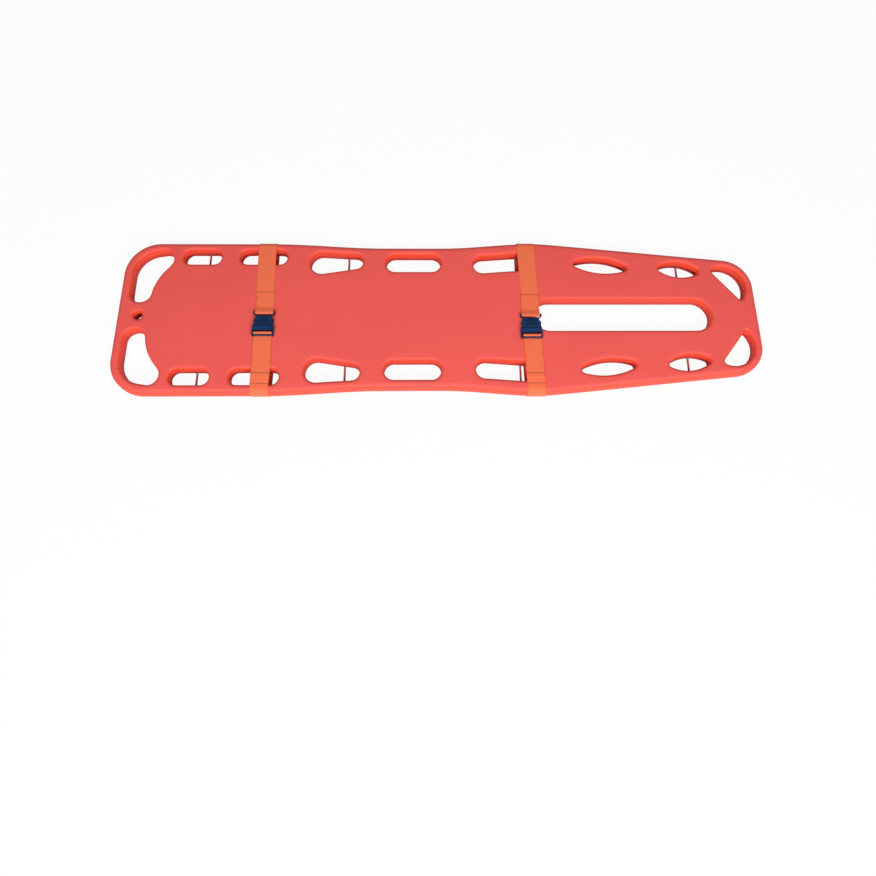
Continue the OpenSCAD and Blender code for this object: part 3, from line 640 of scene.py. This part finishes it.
def ribbon(name, strap, path, cut_end, start=0.0):
    """Webbing carried along a path: each ring is its section, turned to the path and moved to the
    strap's drift. Its UV map gives the place across and along it in metres, so the weave follows
    every bend. The attribute cut marks the one ring, first or last, where the webbing was cut off.
    There an S-curve presses it to a share of its thickness over the last few millimetres, with its
    lower face left where it lies."""
    section = web_section()
    n, m = len(section), len(path)
    across, thick = section.T
    walked = walked_along(path)
    press = END_PRESS + (1 - END_PRESS) * smooth(abs(walked - walked[cut_end]) / END_L)
    ahead = np.gradient(path, axis=0)
    ahead /= np.linalg.norm(ahead, axis=1)[:, None]
    up = np.column_stack([-ahead[:, 1], ahead[:, 0]])
    middle = path - np.column_stack([np.zeros(m), (1 - press) * WEB_T / 2])
    yz = middle[:, None] + up[:, None] * (press[:, None] * thick)[..., None]
    x = strap.middle_x(path[:, 0])[:, None] + across
    points = np.concatenate([x[..., None], yz], -1).reshape(-1, 3)
    caps = [list(range(n)), list(range((m - 1) * n, m * n))]
    data = mesh_of(name, points, quads_between(m, n).tolist() + caps)
    places = np.column_stack([np.tile(across, m), np.repeat(start + walked, n)]) * MM
    corners = np.zeros(len(data.loops), int)
    data.loops.foreach_get("vertex_index", corners)
    weave = data.uv_layers.new(name=WEAVE_MAP)
    weave.data.foreach_set("uv", places[corners].astype(np.float32).ravel())
    cut = np.zeros(m)
    cut[cut_end] = 1
    keep_marks(data, "cut", np.repeat(cut, n))
    turn_outwards(data)
    data.shade_smooth()
    return linked(name, data)


def turn_outwards(data):
    """Turn the faces of a closed mesh to look outwards."""
    work = bmesh.new()
    work.from_mesh(data)
    bmesh.ops.recalc_face_normals(work, faces=work.faces)
    work.to_mesh(data)
    work.free()


def seam_rows(rows):
    """Places along sewn rows: the middle of each stitch and its direction, for rows given by their
    two ends."""
    places, turns = [], []
    for p, q in rows:
        p, q = np.array(p, float), np.array(q, float)
        length = np.linalg.norm(q - p)
        n = max(int(round(length / STITCH_PITCH)), 1)
        places.append(p + (q - p) * ((np.arange(n) + 0.5) / n)[:, None])
        turns.append(np.repeat([(q - p) / length], n, 0))
    return np.concatenate(places), np.concatenate(turns)


def stitching(name, strap, rows, z, around=8, steps=6):
    """Thread that shows on webbing: each stitch is an ellipsoid, half sunk into the face at height
    z. Rows are given as (across, y) ends."""
    polar = np.linspace(0, np.pi, steps + 1)[1:-1]
    turn = np.arange(around) * 2 * np.pi / around
    waist = np.sin(polar)[:, None]
    belts = np.stack([np.repeat(np.cos(polar), around), (waist * np.cos(turn)).ravel(),
                      (waist * np.sin(turn)).ravel()], 1)
    base = np.concatenate([[[1, 0, 0]], belts, [[-1, 0, 0]]]) * STITCH
    last = len(base) - 1
    end = last - around
    i = np.arange(around)
    j = (i + 1) % around
    quads = 1 + quads_between(steps - 1, around)
    tips = np.concatenate([np.stack([0 * i, 1 + j, 1 + i], 1),
                           np.stack([0 * i + last, end + i, end + j], 1)])
    places, along = seam_rows(rows)
    side = np.stack([-along[:, 1], along[:, 0]], 1)
    flat = places[:, None] + base[:, 0:1] * along[:, None] + base[:, 1:2] * side[:, None]
    x = strap.middle_x(places[:, 1])[:, None] + flat[..., 0]
    height = np.broadcast_to(z + base[:, 2], x.shape)
    points = np.stack([x, flat[..., 1], height], -1).reshape(-1, 3)
    shift = (np.arange(len(places)) * len(base))[:, None, None]
    faces = (quads + shift).reshape(-1, 4).tolist() + (tips + shift).reshape(-1, 3).tolist()
    data = mesh_of(name, points, faces)
    turn_outwards(data)
    data.shade_smooth()
    return linked(name, data)


def rounded_copy(node, name, width):
    """A CAD solid's shape as one closed mesh, with every sharp edge rounded and marked in the
    attribute edge."""
    work = bmesh.new()
    work.from_mesh(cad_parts[node].data)
    bmesh.ops.remove_doubles(work, verts=work.verts, dist=0.002 * MM)
    bmesh.ops.dissolve_limit(work, angle_limit=FLAT, use_dissolve_boundaries=False,
                             verts=work.verts, edges=work.edges)
    sharp = [e for e in work.edges if len(e.link_faces) == 2 and e.calc_face_angle() > SHARP]
    made = bmesh.ops.bevel(work, geom=sharp, offset=width * MM, segments=2, profile=0.5,
                           affect="EDGES", clamp_overlap=True)
    bmesh.ops.recalc_face_normals(work, faces=work.faces)
    rounded = {v.index for v in made["verts"]}
    work.verts.index_update()
    marks = [1.0 if v.index in rounded else 0.0 for v in work.verts]
    data = bpy.data.meshes.new(name)
    work.to_mesh(data)
    work.free()
    keep_marks(data, "edge", marks)
    data.shade_smooth()
    piece = linked(name, data)
    weighted = piece.modifiers.new("weighted_normals", "WEIGHTED_NORMAL")
    weighted.keep_sharp = False
    return piece


class Number:
    """A number that changes over a surface. Arithmetic on it adds Math nodes."""

    def __init__(self, paint, socket):
        self.paint, self.socket = paint, socket

    def maths(self, operation, *values):
        sockets = dict(enumerate(values))
        made = self.paint.node("ShaderNodeMath", {"operation": operation}, sockets)
        return Number(self.paint, made.outputs[0])

    def __add__(self, other):
        return self.maths("ADD", self, other)

    def __sub__(self, other):
        return self.maths("SUBTRACT", self, other)

    def __rsub__(self, other):
        return self.maths("SUBTRACT", other, self)

    def __mul__(self, other):
        return self.maths("MULTIPLY", self, other)

    def __pow__(self, other):
        return self.maths("POWER", self, other)

    __radd__, __rmul__ = __add__, __mul__

    def sine(self):
        return self.maths("SINE", self)

    def swing(self, span):
        """A zigzag: up to span and down again, over twice the span."""
        return self.maths("PINGPONG", self, span)

    def between(self, low, high):
        """0 below low, 1 above high and a straight rise between them."""
        sockets = {"Value": self, "From Min": low, "From Max": high}
        made = self.paint.node("ShaderNodeMapRange", {"clamp": True}, sockets)
        return Number(self.paint, made.outputs["Result"])


class Paint:
    """One material: its surface shader, and the nodes that vary it."""

    def __init__(self, name, roughness, **fixed):
        self.material = bpy.data.materials.new(name)
        self.material.use_nodes = True
        self.tree = self.material.node_tree
        self.shader = self.tree.nodes["Principled BSDF"]
        self.shader.inputs["Roughness"].default_value = roughness
        for socket, value in fixed.items():
            self.shader.inputs[socket.replace("_", " ")].default_value = value
        self.place = self.node("ShaderNodeTexCoord").outputs["Object"]

    def node(self, kind, settings=None, sockets=None):
        """Any node: its settings are set first, then the values or links of its sockets."""
        made = self.tree.nodes.new(kind)
        for name, value in (settings or {}).items():
            setattr(made, name, value)
        for name, value in (sockets or {}).items():
            value = value.socket if isinstance(value, Number) else value
            if isinstance(value, bpy.types.NodeSocket):
                self.tree.links.new(value, made.inputs[name])
            else:
                made.inputs[name].default_value = value
        return made

    def noise(self, scale, detail, stretch=None):
        """Cloudy noise from 0 to 1 with so many lumps to a metre, stretched along the axes if
        wanted."""
        place = self.place
        if stretch is not None:
            mapping = self.node("ShaderNodeMapping", None, {"Vector": place, "Scale": stretch})
            place = mapping.outputs["Vector"]
        sockets = {"Vector": place, "Scale": scale, "Detail": detail}
        return Number(self, self.node("ShaderNodeTexNoise", None, sockets).outputs["Fac"])

    def height(self):
        """Height over the board's underside, in metres."""
        return Number(self, self.node("ShaderNodeSeparateXYZ", None, {0: self.place}).outputs["Z"])

    def attribute(self, name):
        made = self.node("ShaderNodeAttribute", {"attribute_name": name})
        return Number(self, made.outputs["Fac"])

    def weave_place(self):
        """Where a point lies on webbing, in metres: across it and along it."""
        place = self.node("ShaderNodeUVMap", {"uv_map": WEAVE_MAP}).outputs["UV"]
        parts = self.node("ShaderNodeSeparateXYZ", None, {0: place})
        return Number(self, parts.outputs["X"]), Number(self, parts.outputs["Y"])

    def mixed(self, share, one, other):
        """One colour turning into another as share goes from 0 to 1."""
        sockets = {"Factor": share, 6: one, 7: other}
        return self.node("ShaderNodeMix", {"data_type": "RGBA"}, sockets).outputs[2]

    def feed(self, socket, value):
        """Let a number or a colour that changes over the surface drive the shader."""
        value = value.socket if isinstance(value, Number) else value
        self.tree.links.new(value, self.shader.inputs[socket])

    def bump(self, height, distance, strength):
        """Relief from a height of 0 to 1, with its depth in metres."""
        sockets = {"Height": height, "Distance": distance, "Strength": strength}
        self.feed("Normal", self.node("ShaderNodeBump", None, sockets).outputs["Normal"])


def linear(r, g, b):
    """A colour given as it shows on a screen, from 0 to 255, as the linear colour that a shader
    takes."""
    c = np.array([r, g, b]) / 255
    return (*np.where(c <= 0.04045, c / 12.92, ((c + 0.055) / 1.055) ** 2.4).tolist(), 1.0)


def board_plastic():
    """Moulded polyethylene: a fine grain on the flat faces, smoother and brighter lips and edges,
    and painted shade: a deeper red low on the walls of the openings."""
    paint = Paint("board_plastic", roughness=0.5, Specular_IOR_Level=0.25)
    lip = paint.attribute("lip")
    cloud = paint.noise(5, 3)
    grain = paint.noise(1400, 2)
    height = paint.height()
    # Painted shade: the openings' walls turn a deeper red in a band from 3 mm up to about 32 mm
    # above the underside
    shade_band = height.between(3 * MM, 10 * MM) * (1 - height.between(7 * MM, 32 * MM))
    low = lip.between(EDGE_MARK + 0.05, OPENING_MARK) * shade_band
    flat = paint.mixed(cloud, linear(236, 88, 82), linear(244, 96, 88))
    upper = paint.mixed(lip, flat, linear(243, 82, 58))
    paint.feed("Base Color", paint.mixed(low, upper, linear(198, 14, 18)))
    scuffs = paint.noise(22, 5, stretch=(0.25, 1.6, 1)).between(0.62, 0.72)
    paint.feed("Roughness", 0.52 + 0.08 * scuffs - 0.08 * lip + 0.05 * cloud)
    paint.bump(grain * (1 - 0.7 * lip), 0.2 * MM, 0.35)
    return paint.material


def webbing_cloth():
    """Woven polyester webbing: lengthwise yarns with a herringbone of slanting picks between them,
    a plain dense selvedge along each edge, painted shade darkening the weave's hollows, and a
    darker melted rim where it was cut."""
    yarn, pick, chevron = 1.25 * MM, 1.9 * MM, 6.25 * MM
    paint = Paint("webbing_cloth", roughness=0.8, Specular_IOR_Level=0.25, Sheen_Weight=0.12)
    across, along = paint.weave_place()
    yarns = (across * (np.pi / yarn)).sine() ** 2
    slant = along + across.swing(chevron)
    picks = (slant * (2 * np.pi / pick)).sine() * 0.5 + 0.5
    inner, outer = (WEB_W / 2 - 3.5) * MM, (WEB_W / 2 - 2.5) * MM
    selvedge = (across**2).between(inner**2, outer**2)
    weft = (along * (2 * np.pi / (pick * 0.6))).sine() * 0.5 + 0.5
    weave = (0.45 * yarns + 0.55 * picks) * (1 - selvedge) + (0.3 + 0.5 * weft) * selvedge
    fade = paint.noise(9, 3, stretch=(1, 0.35, 1))
    fluff = paint.noise(2600, 2)
    cut = paint.attribute("cut").between(0.45, 1.0)
    light = paint.mixed(fade, linear(255, 131, 86), linear(252, 118, 78))
    # Painted shade: the weave darker in its hollows, where its bump is low
    weave_shaded = paint.mixed((1 - weave) * 0.5, light, linear(222, 84, 48))
    dense = paint.mixed(selvedge * 0.3, weave_shaded, linear(232, 88, 52))
    paint.feed("Base Color", paint.mixed(cut, dense, linear(226, 98, 60)))
    paint.feed("Roughness", 0.72 + 0.16 * fluff - 0.2 * cut)
    paint.bump(weave * 0.8 + fluff * 0.2, 0.35 * MM, 0.7)
    return paint.material


def sewing_thread():
    """Bonded thread, with the slant of its plies going from darker to lighter than the webbing."""
    paint = Paint("sewing_thread", roughness=0.55)
    sockets = {"Scale": 900.0, "Vector": paint.place}
    plies = paint.node("ShaderNodeTexWave", {"bands_direction": "DIAGONAL"}, sockets)
    ply = Number(paint, plies.outputs["Fac"])
    paint.feed("Base Color", paint.mixed(ply, linear(214, 84, 52), linear(252, 140, 98)))
    paint.bump(ply, 0.1 * MM, 0.5)
    return paint.material


def buckle_nylon():
    """Moulded navy nylon: a fine spark texture, faint flow marks, and smoother edges darkened with
    painted shade and rubbed paler in spots."""
    paint = Paint("buckle_nylon", roughness=0.4, Specular_IOR_Level=0.3)
    edge = paint.attribute("edge")
    flow = paint.noise(60, 3, stretch=(1, 0.4, 1))
    spark = paint.noise(3200, 2)
    rubbed = edge * paint.noise(300, 3).between(0.35, 0.6)
    deep = paint.mixed(flow, linear(0, 48, 98), linear(2, 60, 114))
    # Painted shade: the rounded edges darkened towards near black
    shade_edged = paint.mixed(edge * 0.75, deep, linear(0, 10, 30))
    paint.feed("Base Color", paint.mixed(rubbed * 0.3, shade_edged, linear(30, 66, 120)))
    paint.feed("Roughness", 0.44 + 0.12 * flow - 0.14 * edge)
    paint.bump(spark * (1 - 0.8 * edge), 0.12 * MM, 0.4)
    return paint.material


def pin_nylon():
    """The clip pins' dark red-brown nylon, drawn along its length and rubbed paler by clips."""
    paint = Paint("pin_nylon", roughness=0.38)
    drawn = paint.noise(500, 3, stretch=(1, 0.05, 1))
    worn = paint.noise(130, 4).between(0.5, 0.68)
    base = paint.mixed(drawn, linear(152, 62, 64), linear(176, 84, 80))
    paint.feed("Base Color", paint.mixed(worn * 0.5, base, linear(206, 128, 118)))
    paint.feed("Roughness", 0.34 + 0.2 * worn)
    paint.bump(drawn, 0.08 * MM, 0.35)
    return paint.material


def plug_nylon():
    """The filler plugs: a darker, glossier red than the board, cloudy where the weld melted
    them. The darker red is painted shade for the hollows they sit in."""
    paint = Paint("plug_nylon", roughness=0.36)
    cloud = paint.noise(40, 3)
    grain = paint.noise(1800, 2)
    # Painted shade: the plugs' red made darker to stand for the hollows they sit in
    paint.feed("Base Color", paint.mixed(cloud, linear(136, 26, 32), linear(162, 38, 42)))
    paint.feed("Roughness", 0.32 + 0.14 * cloud)
    paint.bump(grain, 0.1 * MM, 0.3)
    return paint.material


def core_foam():
    """Rigid cream foam with open cells."""
    paint = Paint("core_foam", roughness=0.92)
    cells = paint.noise(700, 3)
    paint.feed("Base Color", paint.mixed(cells, linear(214, 196, 150), linear(244, 234, 204)))
    paint.feed("Roughness", 0.85 + 0.1 * cells)
    paint.bump(cells, 0.6 * MM, 0.8)
    return paint.material


def finish(piece, material):
    """Give a piece its one material."""
    piece.data.materials.clear()
    piece.data.materials.append(material)


def dress(piece, material, body="board", nodes=()):
    """Finish a piece, say which body it rides on and which solids it stands for."""
    finish(piece, material)
    if body:
        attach(piece, body)
    if nodes:
        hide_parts(*nodes)


def box_and_cross(low, high, half):
    """Rows of a sewn box with a cross in it, from one place across the board to another."""
    corners = [(-half, low), (half, low), (half, high), (-half, high)]
    box = list(zip(corners, corners[1:] + corners[:1]))
    return box + [(corners[0], corners[2]), (corners[1], corners[3])]


def webbing(name, strap, cloth, thread):
    """One strap's wrap and adjuster run with their sewing. The run and its hem stretch between the
    board, at the near edge, and the plug, just past the ladder bar."""
    lap, run = strap.lap_path(), strap.run_path()
    wrapped = ribbon(f"{name}_webbing_wrap", strap, lap, 0)
    dress(wrapped, cloth, nodes=[f"{name}_strap_wrap"])
    adjusted = ribbon(f"{name}_webbing_run", strap, run, -1, start=walked_along(lap)[-1])
    dress(adjusted, cloth, body=None, nodes=[f"{name}_strap_adjuster_run"])

    foot = strap.buckle_y - SOCKET_BAR[0] + LAP_FALL
    rows = box_and_cross(foot + BOX_END_IN, foot + LAP_L - BOX_END_IN, WEB_W / 2 - BOX_SIDE_IN)
    sewn = stitching(f"{name}_lap_stitches", strap, rows, SECOND_Z + WEB_T / 2)
    dress(sewn, thread)
    end = -strap.edge + TAIL_IN
    rows = [((-HEM_ROW_HALF, end + at), (HEM_ROW_HALF, end + at)) for at in HEM_ROWS]
    hem = stitching(f"{name}_hem_stitches", strap, rows, THIRD_Z + WEB_T / 2)
    dress(hem, thread, body=None)

    for piece in (adjusted, hem):
        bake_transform(piece)


def buckle(name, nylon):
    """One strap's buckle: socket, plug and the plug's two arms."""
    socket = rounded_copy(f"{name}_buckle_socket", f"{name}_socket", BUCKLE_ROUND)
    dress(socket, nylon, nodes=[f"{name}_buckle_socket"])
    plug = rounded_copy(f"{name}_buckle_plug", f"{name}_plug_frame", BUCKLE_ROUND)
    dress(plug, nylon, f"{name}_plug", [f"{name}_buckle_plug"])
    for side in ("head_side", "foot_side"):
        node, arm_name = f"{name}_buckle_arm_{side}", f"{name}_arm_{side}"
        arm = rounded_copy(node, arm_name, ARM_ROUND)
        dress(arm, nylon, arm_name, [node])


def camera():
    """The camera that took the photograph, worked out from the board's outline and slots in it."""
    image = 876
    centre_px, focal_px = (447.6, 293.0), 781.5
    target, distance = Vector((19.7, 67.0, BOARD_T)), 2265.3
    yaw, pitch, roll = np.radians([4.08, 67.19, 3.77])
    ahead = Vector((np.sin(yaw) * np.cos(pitch), np.cos(yaw) * np.cos(pitch), -np.sin(pitch)))
    level = Vector((np.cos(yaw), -np.sin(yaw), 0))
    rise = level.cross(ahead)
    right = np.cos(roll) * level + np.sin(roll) * rise
    up = -np.sin(roll) * level + np.cos(roll) * rise
    data = bpy.data.cameras.new("camera")
    data.sensor_width = 36
    data.lens = focal_px / image * data.sensor_width
    data.shift_x = (image / 2 - centre_px[0]) / image
    data.shift_y = (centre_px[1] - image / 2) / image
    data.clip_end = 50
    piece = linked("camera", data)
    turn = Matrix([[right[i], up[i], -ahead[i]] for i in range(3)]).to_4x4()
    piece.matrix_world = Matrix.Translation((target - distance * ahead) * MM) @ turn
    bpy.context.scene.camera = piece


def white_floor():
    """A floor just below the board that the camera sees nearly as plain white, with a faint
    shadow."""
    span, below, glowing, grey = 12.0, CAD_BOX[0][2] - 0.2 * MM, 0.94, 0.86
    corners = [(-span, -span), (span, -span), (span, span), (-span, span)]
    data = bpy.data.meshes.new("floor")
    data.from_pydata([(x, y, below) for x, y in corners], [], [(0, 1, 2, 3)])
    floor = linked("floor", data)
    paint = Paint("floor_white", roughness=0.9)
    paint.shader.inputs["Base Color"].default_value = (grey, grey, grey, 1)
    glow = paint.node("ShaderNodeEmission", None, {"Color": (1, 1, 1, 1), "Strength": 1.0})
    path = paint.node("ShaderNodeLightPath")
    share = Number(paint, path.outputs["Is Camera Ray"]) * glowing
    shaders = {0: share, 1: paint.shader.outputs[0], 2: glow.outputs[0]}
    mix = paint.node("ShaderNodeMixShader", None, shaders)
    out = paint.tree.nodes["Material Output"]
    paint.tree.links.new(mix.outputs[0], out.inputs["Surface"])
    data.materials.append(paint.material)


def lights():
    """A white sky, and two soft lamps above the near side that face the board."""
    world = bpy.data.worlds.new("world")
    bpy.context.scene.world = world
    world.use_nodes = True
    sky = world.node_tree.nodes["Background"].inputs
    sky["Color"].default_value = (1, 1, 1, 1)
    sky["Strength"].default_value = 0.3
    for name, place, size, power in (
        ("key_lamp", (-1.0, -2.2, 2.3), 1.3, 52),
        ("fill_lamp", (1.2, -2.2, 2.3), 1.5, 60),
    ):
        lamp = bpy.data.lights.new(name, "AREA")
        lamp.size, lamp.energy = size, power
        turn = (-Vector(place)).to_track_quat("-Z", "Y").to_matrix().to_4x4()
        linked(name, lamp).matrix_world = Matrix.Translation(place) @ turn


camera()
white_floor()
lights()
bpy.context.scene.view_settings.view_transform = "Standard"
dress(board(), board_plastic(), nodes=["board_shell"])
cloth, thread, nylon = webbing_cloth(), sewing_thread(), buckle_nylon()
for strap_name in STRAP_DRIFT:
    webbing(strap_name, Strap(strap_name), cloth, thread)
    buckle(strap_name, nylon)
pin_finish = pin_nylon()
for node_name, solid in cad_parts.items():
    if "_pin_" in node_name:
        finish(solid, pin_finish)
finish(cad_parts["filler_plugs"], plug_nylon())
finish(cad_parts["foam_core"], core_foam())
